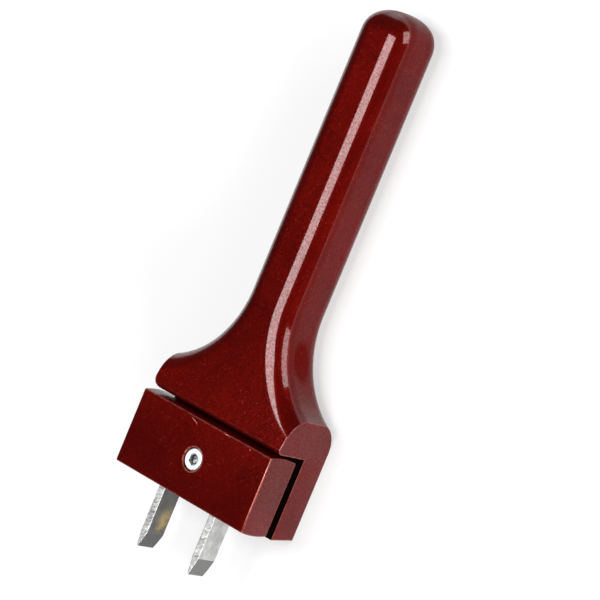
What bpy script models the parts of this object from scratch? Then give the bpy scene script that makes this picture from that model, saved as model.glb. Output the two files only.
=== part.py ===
"""Hand-held electrode holder: two flat electrodes clamped in the head of a cast hand grip.

The holder lies on its back. X runs along the wide head, Y along the grip towards its domed
end, and Z stands out of the clamp block's front face. Lengths along the tool are measured
from the clamp screw's axis ("along"), heights from the flat back ("height"), in metres.
"""
import math

import bmesh
import bpy
import numpy as np

# ---- driving dimensions -------------------------------------------------------------
GAP = 0.0003                 # clearance kept between pieces that touch
HEAD_WIDTH = 0.0697          # over the two machined head ends
GRIP_TOP = 0.1850            # screw axis to the top of the dome
TIP_LEFT = 0.0414            # screw axis to the left electrode's edge
TIP_RIGHT = 0.0408           # the right one is set 0.6 mm shorter

JAW_DEPTH = 0.0126           # back jaw, cast in one with the grip
JAW_GAP = 0.0037             # open space between the back jaw and the clamp block
BLOCK_DEPTH = 0.0150
BLOCK_FRONT = JAW_DEPTH + JAW_GAP + BLOCK_DEPTH
BLOCK_BACK = JAW_DEPTH + JAW_GAP
BLOCK_HALF_HEIGHT = 0.0150
BLOCK_CROWN = 0.0007         # the block's top and bottom bulge at mid depth
BLOCK_EDGE = 0.0006
BEVEL_ANGLE = math.radians(40)
CROWN_STEPS = 8

REBATE_TOP = 0.0171          # underside of the nose that overhangs the block
JAW_END_FRONT = -0.0159      # the jaw's lower end is drafted towards the back
JAW_END_BACK = -0.0146

GRIP_WIDTH = 0.0248
GRIP_FRONT = 0.02635         # height of the grip's front face above the back
FRONT_RADIUS = 0.0080        # rounded long edges, front and back
BACK_RADIUS = 0.0096
NOSE_LEAN = 0.20             # the nose's front leans out towards the block
NOSE_LEAN_START = 0.0300
NOSE_LEAN_BLEND = 0.0030
FLARE_RADIUS = 0.0400        # concave arc from the grip out to the head
FLARE_START = 0.0675
DOME_HEIGHT = 0.0115
DOME_POWER = 2.3             # superellipse of the grip's closed end
DOME_FLAT = 0.02             # share of the section left as a flat at the dome's top
DOME_LAST_TURN = math.radians(86)
NOSE_CORNER = 0.0055         # the nose's left lower corner is rounded off in the front view
SECTION_PITCH = 0.0016       # between the casting's sections below the flare
HEAD_SECTIONS = 10

ELECTRODE_WIDTH = 0.0032
ELECTRODE_DEPTH = 0.0100
ELECTRODE_BACK = 0.0145      # height of the electrodes' back edge
ELECTRODE_PITCH = 0.0277     # centre to centre
ELECTRODE_TOP = 0.0115       # upper end, inside the block's blind slot
TIP_BEVEL_LEFT = 0.0061
TIP_BEVEL_RIGHT = 0.0072
TIP_LAND = 0.0003            # width left at the ground edge
SLOT_SIDE = 0.0002           # play of an electrode in its slot

SCREW_DIAMETER = 0.0050      # M5 socket head cap screw, 20 mm long
SCREW_LENGTH = 0.0200
SCREW_HEAD = 0.0085
SCREW_HEAD_HEIGHT = 0.0050
SCREW_SOCKET = 0.0040        # hexagon across flats
SCREW_SOCKET_DEPTH = 0.0025
SCREW_RECESS = 0.0004        # head below the block's front face
THREAD_PLAY = 0.0002         # stands for the thread: bore and shank stay apart
WASHER_DIAMETER = 0.0090
WASHER_HOLE = 0.0053
WASHER_THICK = 0.0010
COUNTERBORE = 0.0098
BLOCK_BORE = 0.0056

SPRING_WIRE = 0.0008
SPRING_OUTSIDE = 0.0090
SPRING_TURNS = 5.0
SPRING_CLOSED = 1.15         # rise of each closed end turn, in wire diameters
SPRING_SIDES = 8
SPRING_STEPS = 20            # rings to a turn
TURNED_EDGE = 0.0004         # broken edges of the screw and the pins
WASHER_EDGE = 0.0001
INSERT_EDGE = 0.0003
HEXAGON_SIDES = 6
SPRING_POCKET = 0.0100
POCKET_IN_BLOCK = 0.0030
POCKET_IN_JAW = 0.0020
INSERT_OUTSIDE = 0.0070
INSERT_LENGTH = 0.0080

PIN_DIAMETER = 0.0040
PIN_PITCH = 0.0500
PIN_LENGTH = 0.0180
PIN_IN_JAW = 0.0080
PIN_PLAY = 0.0001            # sliding fit of the pins in the block
PIN_END_ROOM = 0.0010        # space past the pins' ends when the clamp is shut

STRIP_WIDTH = 0.0580         # insulating strip between the jaw and the electrodes
STRIP_LOW = -0.0138
STRIP_HIGH = 0.0125
STRIP_HOLE = 0.0104

# ---- positions that follow ----------------------------------------------------------
SCREW_Y = -(GRIP_TOP - TIP_LEFT) / 2            # the box is centred on the origin
SCREW_SEAT = BLOCK_FRONT - SCREW_RECESS - SCREW_HEAD_HEIGHT
WASHER_TOP = SCREW_SEAT - GAP
COUNTERBORE_FLOOR = WASHER_TOP - WASHER_THICK - GAP
JAW_POCKET_FLOOR = JAW_DEPTH - POCKET_IN_JAW
INSERT_TOP = JAW_POCKET_FLOOR - GAP
PIN_FOOT = JAW_DEPTH - PIN_IN_JAW
FLARE_CENTRE = GRIP_WIDTH / 2 + FLARE_RADIUS
SIDES = (("left", -1), ("right", 1))

CUT_MARGIN = 0.002            # how far a cutter runs past the face that it opens
FAR = 0.2                    # further than any piece reaches

CORNER_STEPS = 6
FLARE_STEPS = 14
DOME_STEPS = 9
ROUND = 40                    # segments of a turned piece
SHARP_ANGLE = math.radians(30)


# ---- helpers ------------------------------------------------------------------------
def material(name, colour, roughness, metallic):
    """One Principled material of plain colour."""
    made = bpy.data.materials.new(name)
    made.use_nodes = True
    shader = made.node_tree.nodes["Principled BSDF"]
    shader.inputs["Base Color"].default_value = (*colour, 1.0)
    shader.inputs["Roughness"].default_value = roughness
    shader.inputs["Metallic"].default_value = metallic
    made.diffuse_color = (*colour, 1.0)
    return made


def add_object(name, verts, faces, place=(0.0, 0.0, 0.0), finish=None):
    """A mesh object with outward faces, standing at its place."""
    mesh = bpy.data.meshes.new(name)
    mesh.from_pydata([tuple(v) for v in verts], [], faces)
    body = bmesh.new()
    body.from_mesh(mesh)
    bmesh.ops.recalc_face_normals(body, faces=body.faces)
    body.to_mesh(mesh)
    body.free()
    obj = bpy.data.objects.new(name, mesh)
    obj.location = place
    bpy.context.scene.collection.objects.link(obj)
    if finish:
        mesh.materials.append(finish)
    return obj


def shade_round(obj):
    """Smooth shading with the sharp edges kept."""
    obj.data.shade_smooth()
    obj.data.set_sharp_from_angle(angle=SHARP_ANGLE)


def loft(rings, close_start=True, close_end=True):
    """Vertices and faces of a skin over rings that all have the same number of points."""
    count = len(rings[0])
    verts = [point for ring in rings for point in ring]
    faces = []
    for row in range(len(rings) - 1):
        low, high = row * count, (row + 1) * count
        for i in range(count):
            j = (i + 1) % count
            faces.append((low + i, low + j, high + j, high + i))
    if close_start:
        faces.append(tuple(range(count)))
    if close_end:
        faces.append(tuple(len(verts) - count + i for i in range(count)))
    return verts, faces


def turned(name, outline, place, finish=None, segments=ROUND):
    """Turn an open outline of (radius, height), whose ends lie off the axis, and cap it."""
    angles = [2 * math.pi * i / segments for i in range(segments)]
    rings = [[(r * math.cos(a), r * math.sin(a), z) for a in angles] for r, z in outline]
    obj = add_object(name, *loft(rings), place, finish)
    shade_round(obj)
    return obj


def turned_ring(name, inner, outer, thick, edge, place, finish):
    """A flat ring with broken outer edges, standing on its place."""
    angles = [2 * math.pi * i / ROUND for i in range(ROUND)]
    outline = [(inner, 0), (outer - edge, 0), (outer, edge), (outer, thick - edge),
               (outer - edge, thick), (inner, thick), (inner, 0)]
    rings = [[(r * math.cos(a), r * math.sin(a), z) for a in angles] for r, z in outline[:-1]]
    verts, faces = loft(rings, close_start=False, close_end=False)
    last = (len(rings) - 1) * ROUND
    for i in range(ROUND):
        j = (i + 1) % ROUND
        faces.append((last + i, last + j, j, i))
    obj = add_object(name, verts, faces, place, finish)
    shade_round(obj)
    return obj


def box(name, low, high, finish=None):
    """A box between two corners, with its origin at its middle."""
    low, high = np.array(low), np.array(high)
    half = (high - low) / 2
    ring = [(-half[0], -half[1]), (half[0], -half[1]), (half[0], half[1]), (-half[0], half[1])]
    rings = [[(x, y, z) for x, y in ring] for z in (-half[2], half[2])]
    return add_object(name, *loft(rings), (low + high) / 2, finish)


def boolean(obj, cutter, operation="DIFFERENCE"):
    """Cut obj with a cutter, or keep what lies inside it; the cutter itself isn't a piece."""
    cutter.hide_render = True
    cutter.display_type = "WIRE"
    modifier = obj.modifiers.new(cutter.name, "BOOLEAN")
    modifier.operation = operation
    modifier.object = cutter
    modifier.solver = "EXACT"


def drill(obj, name, diameter, low, high, x=0.0, segments=ROUND):
    """A round hole along Z through obj, on the screw's line across the head."""
    cutter = turned(name, [(diameter / 2, low), (diameter / 2, high)], (x, SCREW_Y, 0),
                    segments=segments)
    boolean(obj, cutter)


# ---- the casting --------------------------------------------------------------------
def nose_front(along):
    """Height of the casting's front face: level on the grip, leaning out on the nose."""
    past = (NOSE_LEAN_START - along) / NOSE_LEAN_BLEND
    return GRIP_FRONT + NOSE_LEAN * NOSE_LEAN_BLEND * math.log1p(math.exp(past))


def edge_width(along, inset):
    """Half width where the casting's rounded edge has turned in by inset.

    Straight on the grip. In the flare the edge follows an arc about a centre beside the grip,
    and it runs on past the machined head end, which a box then cuts.
    """
    down = FLARE_START - along
    if down <= 0:
        return GRIP_WIDTH / 2 - inset
    reach = FLARE_RADIUS + inset
    if down < reach:
        return FLARE_CENTRE - math.sqrt(reach ** 2 - down ** 2)
    return FLARE_CENTRE + down - reach


def casting_section(along, shrink=1.0):
    """One closed section across the casting: a rectangle with a front and a back radius."""
    turns = [math.radians(90) * i / CORNER_STEPS for i in range(CORNER_STEPS + 1)]
    front = nose_front(along)
    right = []
    for angle in reversed(turns):
        x = edge_width(along, FRONT_RADIUS * (1 - math.cos(angle)))
        right.append((x, front - FRONT_RADIUS * (1 - math.sin(angle))))
    for angle in turns:
        x = edge_width(along, BACK_RADIUS * (1 - math.cos(angle)))
        right.append((x, BACK_RADIUS * (1 - math.sin(angle))))
    left = [(-x, z) for x, z in reversed(right)]
    middle = GRIP_FRONT / 2
    return [(x * shrink, along, middle + (z - middle) * shrink) for x, z in right + left]


def casting_rings():
    """Sections from the jaw's drafted lower end, through the flare, to the top of the dome."""
    slope = (JAW_END_FRONT - JAW_END_BACK) / JAW_DEPTH
    rings = [[(x, JAW_END_BACK + slope * z, z) for x, _, z in casting_section(JAW_END_BACK)]]
    first = REBATE_TOP - GAP
    rings += [casting_section(first + SECTION_PITCH * i) for i in range(HEAD_SECTIONS)]
    flare_end = first + SECTION_PITCH * HEAD_SECTIONS
    full_turn = math.asin((FLARE_START - flare_end) / FLARE_RADIUS)
    for i in range(FLARE_STEPS + 1):
        angle = full_turn * (1 - i / FLARE_STEPS)
        rings.append(casting_section(FLARE_START - FLARE_RADIUS * math.sin(angle)))
    dome_foot = GRIP_TOP - DOME_HEIGHT
    for i in range(DOME_STEPS):
        angle = DOME_LAST_TURN * i / (DOME_STEPS - 1)
        rise = DOME_HEIGHT * math.sin(angle) ** (2 / DOME_POWER)
        shrink = math.cos(angle) ** (2 / DOME_POWER)
        rings.append(casting_section(dome_foot + rise, shrink))
    rings.append(casting_section(GRIP_TOP, DOME_FLAT))
    return [[(x, y + SCREW_Y, z) for x, y, z in ring] for ring in rings]


def corner_cutter():
    """What lies outside a round at the nose's left lower corner, above the jaw.

    The round's centre is set a little outwards, so its ends cross the two faces that it
    joins instead of just touching them.
    """
    centre_x = -HEAD_WIDTH / 2 + 0.98 * NOSE_CORNER
    centre_y = SCREW_Y + REBATE_TOP + 0.98 * NOSE_CORNER
    outline = []
    for i in range(2 * CORNER_STEPS + 1):
        angle = math.pi + math.pi / 2 * i / (2 * CORNER_STEPS)
        outline.append((centre_x + NOSE_CORNER * math.cos(angle),
                        centre_y + NOSE_CORNER * math.sin(angle)))
    low_y, low_x = outline[-1][1] - CUT_MARGIN, outline[0][0] - CUT_MARGIN
    outline += [(centre_x, low_y), (low_x, low_y), (low_x, centre_y)]
    rings = [[(x, y, z) for x, y in outline] for z in (JAW_DEPTH + GAP, BLOCK_FRONT + FAR)]
    return add_object("nose_corner", *loft(rings))


def make_handle_casting(finish):
    """Grip, flare, overhanging nose and back jaw, cast in one and machined at the head."""
    obj = add_object("handle_casting", *loft(casting_rings()), (0, 0, 0), finish)
    half = HEAD_WIDTH / 2
    boolean(obj, box("head_ends", (-half, -FAR, -FAR), (half, FAR, FAR)), "INTERSECT")
    boolean(obj, box("rebate", (-FAR, SCREW_Y - FAR, JAW_DEPTH),
                     (FAR, SCREW_Y + REBATE_TOP, FAR)))
    boolean(obj, corner_cutter())
    drill(obj, "jaw_pocket", SPRING_POCKET, JAW_POCKET_FLOOR, BLOCK_BACK)
    drill(obj, "insert_hole", INSERT_OUTSIDE + 2 * GAP, INSERT_TOP - INSERT_LENGTH - GAP,
          JAW_DEPTH)
    for side, x in SIDES:
        drill(obj, f"pin_hole_{side}", PIN_DIAMETER + GAP, PIN_FOOT - GAP, BLOCK_BACK,
              x * PIN_PITCH / 2)
    shade_round(obj)
    return obj


# ---- the clamp ----------------------------------------------------------------------
def block_outline():
    """End profile of the block, along and height: flat faces, crowned top and bottom."""
    points = []
    for sign in (1, -1):
        for i in range(CROWN_STEPS + 1):
            t = i / CROWN_STEPS
            t = t if sign > 0 else 1 - t
            crown = BLOCK_CROWN * 4 * t * (1 - t)
            points.append((sign * (BLOCK_HALF_HEIGHT + crown), BLOCK_BACK + BLOCK_DEPTH * t))
    return points


def make_clamp_block(finish):
    """Rectangular block that one screw pulls against the back jaw, slotted from behind."""
    half = HEAD_WIDTH / 2
    rings = [[(x, y, z) for y, z in block_outline()] for x in (-half, half)]
    obj = add_object("clamp_block", *loft(rings), (0, SCREW_Y, 0), finish)
    edge = obj.modifiers.new("edges", "BEVEL")
    edge.width = BLOCK_EDGE
    edge.segments = 2
    edge.limit_method = "ANGLE"
    edge.angle_limit = BEVEL_ANGLE
    below = BLOCK_BACK - CUT_MARGIN
    drill(obj, "counterbore", COUNTERBORE, COUNTERBORE_FLOOR, BLOCK_FRONT + CUT_MARGIN)
    drill(obj, "screw_bore", BLOCK_BORE, below, BLOCK_FRONT)
    drill(obj, "block_pocket", SPRING_POCKET, below, BLOCK_BACK + POCKET_IN_BLOCK)
    half_slot = ELECTRODE_WIDTH / 2 + SLOT_SIDE
    slot_floor = ELECTRODE_BACK + ELECTRODE_DEPTH + GAP
    for side, x in SIDES:
        middle = x * ELECTRODE_PITCH / 2
        boolean(obj, box(f"slot_{side}", (middle - half_slot, SCREW_Y - FAR, below),
                         (middle + half_slot, SCREW_Y + ELECTRODE_TOP + GAP, slot_floor)))
        drill(obj, f"pin_bore_{side}", PIN_DIAMETER + 2 * PIN_PLAY, below,
              PIN_FOOT + PIN_LENGTH + PIN_END_ROOM, x * PIN_PITCH / 2)
    shade_round(obj)
    return obj


def make_clamp_screw(finish):
    """Socket head cap screw; the plain shank stands for its thread."""
    head, shank = SCREW_HEAD / 2, SCREW_DIAMETER / 2
    top, tip, edge = SCREW_HEAD_HEIGHT, -SCREW_LENGTH, TURNED_EDGE
    outline = [(head - edge, top), (head, top - edge), (head, 0), (shank, 0),
               (shank, tip + edge), (shank - edge, tip)]
    obj = turned("clamp_screw", outline, (0, SCREW_Y, SCREW_SEAT), finish)
    corner = SCREW_SOCKET / 2 / math.cos(math.pi / HEXAGON_SIDES)
    floor = top - SCREW_SOCKET_DEPTH
    socket = turned("socket", [(corner, floor), (corner, top + CUT_MARGIN)],
                    (0, SCREW_Y, SCREW_SEAT), segments=HEXAGON_SIDES)
    boolean(obj, socket)
    return obj


def make_screw_washer(finish):
    """Small flat washer under the screw's head, in the counterbore."""
    place = (0, SCREW_Y, WASHER_TOP - WASHER_THICK)
    return turned_ring("screw_washer", WASHER_HOLE / 2, WASHER_DIAMETER / 2, WASHER_THICK,
                       WASHER_EDGE, place, finish)


def make_thread_insert(finish):
    """Threaded steel bush that takes the screw in the soft casting."""
    bore = SCREW_DIAMETER / 2 + THREAD_PLAY
    place = (0, SCREW_Y, INSERT_TOP - INSERT_LENGTH)
    return turned_ring("thread_insert", bore, INSERT_OUTSIDE / 2, INSERT_LENGTH,
                       INSERT_EDGE, place, finish)


def spring_height(turn):
    """Centre height of the spring's wire after so many turns: closed, open, closed."""
    low = JAW_POCKET_FLOOR + GAP + SPRING_WIRE / 2
    high = BLOCK_BACK + POCKET_IN_BLOCK - GAP - SPRING_WIRE / 2
    closed = SPRING_WIRE * SPRING_CLOSED
    if turn < 1:
        return low + closed * turn
    if turn > SPRING_TURNS - 1:
        return high - closed * (SPRING_TURNS - turn)
    rise = (high - low - 2 * closed) / (SPRING_TURNS - 2)
    return low + closed + rise * (turn - 1)


def make_opening_spring(finish):
    """Compression spring round the screw, which lifts the block when the screw is eased."""
    radius = (SPRING_OUTSIDE - SPRING_WIRE) / 2
    rings = []
    for i in range(int(SPRING_TURNS * SPRING_STEPS) + 1):
        turn = i / SPRING_STEPS
        angle = 2 * math.pi * turn
        out = (math.cos(angle), math.sin(angle))
        ring = []
        for k in range(SPRING_SIDES):
            around = 2 * math.pi * k / SPRING_SIDES
            r = radius + SPRING_WIRE / 2 * math.cos(around)
            z = spring_height(turn) + SPRING_WIRE / 2 * math.sin(around)
            ring.append((r * out[0], r * out[1], z))
        rings.append(ring)
    obj = add_object("opening_spring", *loft(rings), (0, SCREW_Y, 0), finish)
    shade_round(obj)
    return obj


def make_guide_pin(side, x, finish):
    """Dowel set in the jaw; the block slides on it and can't turn about its one screw."""
    radius, edge = PIN_DIAMETER / 2, TURNED_EDGE
    outline = [(radius - edge, 0), (radius, edge), (radius, PIN_LENGTH - edge),
               (radius - edge, PIN_LENGTH)]
    return turned(f"guide_pin_{side}", outline, (x, SCREW_Y, PIN_FOOT), finish)


def make_backing_strip(finish):
    """Insulating strip on the jaw, behind the electrodes, held by the two guide pins."""
    half = STRIP_WIDTH / 2
    obj = box("backing_strip", (-half, SCREW_Y + STRIP_LOW, JAW_DEPTH + GAP),
              (half, SCREW_Y + STRIP_HIGH, ELECTRODE_BACK - GAP), finish)
    below = JAW_DEPTH - CUT_MARGIN
    drill(obj, "strip_hole", STRIP_HOLE, below, BLOCK_BACK)
    for side, x in SIDES:
        drill(obj, f"strip_pin_hole_{side}", PIN_DIAMETER + 2 * GAP, below, BLOCK_BACK,
              x * PIN_PITCH / 2)
    return obj


# ---- the electrodes -----------------------------------------------------------------
def make_electrode(side, x, tip, bevel, finish):
    """Flat bar on edge in its slot, ground from both sides to a chisel edge."""
    half, land = ELECTRODE_WIDTH / 2, TIP_LAND / 2
    outline = [(-half, ELECTRODE_TOP), (-half, bevel - tip), (-land, -tip), (land, -tip),
               (half, bevel - tip), (half, ELECTRODE_TOP)]
    rings = [[(u, v, z) for u, v in outline] for z in (0, ELECTRODE_DEPTH)]
    return add_object(f"electrode_{side}", *loft(rings), (x, SCREW_Y, ELECTRODE_BACK), finish)


def main():
    """Clear the scene and build the holder."""
    for old in list(bpy.data.objects):
        bpy.data.objects.remove(old, do_unlink=True)
    paint = material("wine_red_paint", (0.115, 0.008, 0.006), 0.30, 0.2)
    zinc = material("bright_zinc", (0.72, 0.72, 0.72), 0.30, 1.0)
    ground_steel = material("ground_steel", (0.48, 0.47, 0.45), 0.40, 1.0)
    plain_steel = material("plain_steel", (0.40, 0.40, 0.41), 0.35, 1.0)
    spring_steel = material("spring_steel", (0.30, 0.30, 0.31), 0.35, 1.0)
    black_laminate = material("black_laminate", (0.020, 0.019, 0.018), 0.60, 0.0)
    make_handle_casting(paint)
    make_clamp_block(paint)
    make_clamp_screw(zinc)
    make_screw_washer(zinc)
    make_thread_insert(plain_steel)
    make_opening_spring(spring_steel)
    for side, x in SIDES:
        make_guide_pin(side, x * PIN_PITCH / 2, plain_steel)
    make_backing_strip(black_laminate)
    make_electrode("left", -ELECTRODE_PITCH / 2, TIP_LEFT, TIP_BEVEL_LEFT, ground_steel)
    make_electrode("right", ELECTRODE_PITCH / 2, TIP_RIGHT, TIP_BEVEL_RIGHT, ground_steel)


main()
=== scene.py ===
# %% [markdown]
# # A hand-held electrode holder
# Two flat steel electrodes are clamped in the wide head of a cast, wine-red grip. The CAD model
# says where everything is and how it moves. This lesson makes the surfaces that are seen: each
# new piece is a grid of points worked out with numpy, and each finish is a tree of nodes.

# %% Load the frame
import math

import bmesh
import bpy
import numpy as np
from mathutils import Matrix, Vector


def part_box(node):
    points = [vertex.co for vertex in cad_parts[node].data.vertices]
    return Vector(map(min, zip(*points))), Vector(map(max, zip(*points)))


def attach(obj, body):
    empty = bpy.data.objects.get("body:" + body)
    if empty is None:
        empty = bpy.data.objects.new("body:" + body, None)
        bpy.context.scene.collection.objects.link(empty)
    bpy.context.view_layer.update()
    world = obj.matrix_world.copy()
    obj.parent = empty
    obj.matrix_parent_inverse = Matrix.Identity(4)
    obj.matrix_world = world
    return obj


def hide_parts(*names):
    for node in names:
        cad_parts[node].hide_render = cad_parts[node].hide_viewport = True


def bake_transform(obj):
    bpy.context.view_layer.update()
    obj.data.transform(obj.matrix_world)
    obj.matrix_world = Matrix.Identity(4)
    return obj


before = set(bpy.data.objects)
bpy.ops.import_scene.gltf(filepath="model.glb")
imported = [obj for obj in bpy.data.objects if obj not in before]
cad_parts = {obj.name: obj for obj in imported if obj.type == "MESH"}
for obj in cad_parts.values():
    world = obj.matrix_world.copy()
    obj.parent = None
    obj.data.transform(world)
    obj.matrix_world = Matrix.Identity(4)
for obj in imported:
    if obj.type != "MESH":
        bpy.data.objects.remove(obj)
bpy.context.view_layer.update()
MM = 0.001

casting_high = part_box("handle_casting")[1]
block_low, block_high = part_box("clamp_block")
screw_low, screw_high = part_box("clamp_screw")
SCREW_Y = (screw_low.y + screw_high.y) / 2
BLOCK_FRONT = block_high.z
HALF_HEAD = casting_high.x
GRIP_TOP = casting_high.y - SCREW_Y
print("head", round(2 * HALF_HEAD / MM, 1), "mm wide; screw axis at y =", round(SCREW_Y, 4))

# %% [markdown]
# ## The camera
# A long lens flattens a small tool and keeps its long edges almost parallel. The camera is
# placed by a direction and a distance from a point near the grip's middle, and then turned
# about its own line of sight. The tool then leans in the picture but lies level on its bench.

# %% Camera
LENS = 202.0
LOOK_AT = Vector((10.5 * MM, -0.6 * MM, 21.3 * MM))
FROM_SIDE = Vector((0.6124, 0.1077, 0.7832))
CAMERA_DISTANCE = 1.262
PICTURE_UP = Vector((-0.3634, 0.9182, 0.1579))


def turned_to(place, back, up):
    """A frame at a place: its Z is back, its Y the part of up that is square to it."""
    back = back.normalized()
    right = up.cross(back).normalized()
    axes = Matrix((right, back.cross(right), back)).transposed().to_4x4()
    return Matrix.Translation(place) @ axes


def add_object(name, data):
    """A new object in the scene, at the origin."""
    made = bpy.data.objects.new(name, data)
    bpy.context.scene.collection.objects.link(made)
    return made


def add_camera():
    """A long lens that looks along a direction, with the picture's up side given as a vector."""
    data = bpy.data.cameras.new("camera")
    data.lens = LENS
    data.clip_start, data.clip_end = 0.05, 20
    camera = add_object("camera", data)
    place = LOOK_AT + FROM_SIDE.normalized() * CAMERA_DISTANCE
    camera.matrix_world = turned_to(place, FROM_SIDE, PICTURE_UP)
    bpy.context.scene.camera = camera
    return camera


camera = add_camera()
print("camera at", [round(c, 3) for c in camera.location])

# %% [markdown]
# ## The bench and the light
# Gloss paint shows its lights more than its colour, so the lights are placed by what each
# surface mirrors. A softbox hangs almost overhead, a little to the left: the rounded edge of
# the grip mirrors it as one long strip, and the flat faces look past it into a dark room and
# stay deep red. A low softbox on the right is mirrored only where the flare turns towards it.
# A third box, low beside the head, is mirrored by nothing that the camera sees: it only adds
# red to the head's flat ends. The bench is a light table. It glows a little itself, so it is
# brighter than the lamps alone would make it, and the shadows under the tool stay soft.

# %% Bench
def add_bench(colour=(0.42, 0.42, 0.42), roughness=0.85, glow=0.48, half=6.0):
    """A pale light table: a large square that scatters light and glows a little itself."""
    mesh = bpy.data.meshes.new("bench")
    corners = [(-half, -half, 0), (half, -half, 0), (half, half, 0), (-half, half, 0)]
    mesh.from_pydata(corners, [], [(0, 1, 2, 3)])
    bench = add_object("bench", mesh)
    pale = bpy.data.materials.new("bench_pale")
    pale.use_nodes = True
    shader = pale.node_tree.nodes["Principled BSDF"]
    shader.inputs["Base Color"].default_value = (*colour, 1)
    shader.inputs["Roughness"].default_value = roughness
    shader.inputs["Specular IOR Level"].default_value = 0.1
    shader.inputs["Emission Color"].default_value = (1, 1, 1, 1)
    shader.inputs["Emission Strength"].default_value = glow
    mesh.materials.append(pale)
    return bench


bench = add_bench()
print("bench:", round(bench.dimensions.x), "m wide")


# %% Softboxes and room
def add_softbox(name, towards, up, distance, width, height, radiance):
    """A rectangular light at a distance along a direction, facing the holder.

    Its power is its radiance times its area times pi, so its brightness as a mirrored
    rectangle stays the same when its size changes.
    """
    data = bpy.data.lights.new(name, "AREA")
    data.shape = "RECTANGLE"
    data.size, data.size_y = width, height
    data.energy = radiance * width * height * math.pi
    light = add_object(name, data)
    direction = Vector(towards).normalized()
    light.matrix_world = turned_to(direction * distance, direction, Vector(up))
    return light


def light_room(strength):
    """An even, dim room round the bench."""
    world = bpy.data.worlds.new("room")
    world.use_nodes = True
    background = world.node_tree.nodes["Background"]
    background.inputs["Color"].default_value = (1, 1, 1, 1)
    background.inputs["Strength"].default_value = strength
    bpy.context.scene.world = world


ROOM_GLOW = 0.04
softboxes = [
    add_softbox("overhead", (-0.12, 0.09, 0.99), (0, 1, 0), 1.0, 0.84, 0.48, 9.2),
    add_softbox("low_right", (0.80, 0.56, 0.25), (0, 0, 1), 1.5, 1.30, 0.84, 6.0),
    add_softbox("fill_right", (0.75, -0.63, 0.20), (0, 0, 1), 1.5, 1.00, 0.70, 16.0)]
light_room(ROOM_GLOW)
bpy.context.scene.view_settings.view_transform = "Standard"
print("softboxes:", {box.name: round(box.data.energy, 1) for box in softboxes}, "watts")

# %% [markdown]
# ## Skins over grids
# Most pieces here are lofts: rows of points, each row one closed section, joined by quads.
# Making the rows as one numpy array keeps the shape in its formula and not in the mesh code.

# %% From a grid to a piece
def skin(grid, closed_rows=True, start_cap=True, end_cap=True):
    """Points and faces of a grid of shape (rows, columns, 3).

    Neighbouring rows are joined by quads. Closed rows meet themselves, and a cap is one face
    over the first or the last row.
    """
    rows, columns = grid.shape[:2]
    index = np.arange(rows * columns).reshape(rows, columns)
    ahead = np.roll(index, -1, axis=1)
    if not closed_rows:
        index, ahead = index[:, :-1], ahead[:, :-1]
    quads = np.stack([index[:-1], ahead[:-1], ahead[1:], index[1:]], axis=-1).reshape(-1, 4)
    faces = quads.tolist()
    if start_cap:
        faces.append(list(range(columns))[::-1])
    if end_cap:
        faces.append(list(range((rows - 1) * columns, rows * columns)))
    return grid.reshape(-1, 3), faces


def add_piece(name, points, faces):
    """A mesh object at the origin whose faces point outwards."""
    mesh = bpy.data.meshes.new(name)
    mesh.from_pydata(np.asarray(points).tolist(), [], faces)
    body = bmesh.new()
    body.from_mesh(mesh)
    bmesh.ops.recalc_face_normals(body, faces=body.faces)
    body.to_mesh(mesh)
    body.free()
    return add_object(name, mesh)


print("a skin over 3 rows of 4 points has", len(skin(np.zeros((3, 4, 3)))[1]), "faces")

# %% [markdown]
# ## Cutting and rounding
# Holes and slots could be modelled into a grid, but its rows would have to bend round each.
# A boolean takes a plain cutter out of the finished skin, with crisp edges, as a drill does.


# %% Cutting and rounding
def smooth(piece, degrees):
    """Smooth shading, with edges sharper than this many degrees kept crisp."""
    piece.data.shade_smooth()
    piece.data.set_sharp_from_angle(angle=math.radians(degrees))


def cut(piece, cutters):
    """Take each cutter's solid out of a piece, and throw the cutters away."""
    for cutter in cutters:
        modifier = piece.modifiers.new("cut", "BOOLEAN")
        modifier.operation = "DIFFERENCE"
        modifier.solver = "EXACT"
        modifier.object = cutter
    graph = bpy.context.evaluated_depsgraph_get()
    made = bpy.data.meshes.new_from_object(piece.evaluated_get(graph))
    piece.modifiers.clear()
    piece.data = made
    for cutter in cutters:
        bpy.data.objects.remove(cutter, do_unlink=True)


def box_cutter(low, high):
    """A plain box between two corners."""
    low, high = np.array(low), np.array(high)
    ring = np.array([[0, 0], [1, 0], [1, 1], [0, 1]])
    grid = np.array([[(*(low[:2] + c * (high - low)[:2]), z) for c in ring]
                     for z in (low[2], high[2])])
    return add_piece("cutter", *skin(grid))


def full_turn(count):
    """Angles at even steps round one turn, without the last, which is the first again."""
    return np.linspace(0, 2 * np.pi, count, endpoint=False)


def round_cutter(outline, x=0.0, sides=64):
    """A turned cutter about a vertical axis on the screw's line; outline is (radius, z)."""
    turn = full_turn(sides)
    radius, height = np.array(outline).T
    grid = np.stack([x + np.outer(radius, np.cos(turn)),
                     SCREW_Y + np.outer(radius, np.sin(turn)),
                     np.repeat(height[:, None], sides, axis=1)], axis=-1)
    return add_piece("cutter", *skin(grid))


def round_off(piece, width, segments, degrees):
    """Round every edge that is sharper than an angle."""
    body = bmesh.new()
    body.from_mesh(piece.data)
    sharp = [e for e in body.edges
             if len(e.link_faces) == 2 and e.calc_face_angle() > math.radians(degrees)]
    bmesh.ops.bevel(body, geom=sharp, offset=width, segments=segments, profile=0.5,
                    affect="EDGES", clamp_overlap=True)
    body.to_mesh(piece.data)
    body.free()


print("a round cutter's faces turn by", 360 / 64, "degrees")

# %% [markdown]
# ## The casting
# Grip, flare, nose and back jaw are one casting. Seen from the front its outline is a straight
# grip, a concave arc on each side and two machined ends. Seen from the side, its long edges
# are rounded over, more at the back than at the front. One formula joins these: how far a
# point lies inside the outline says how far its surface has fallen below the flat face.

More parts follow.
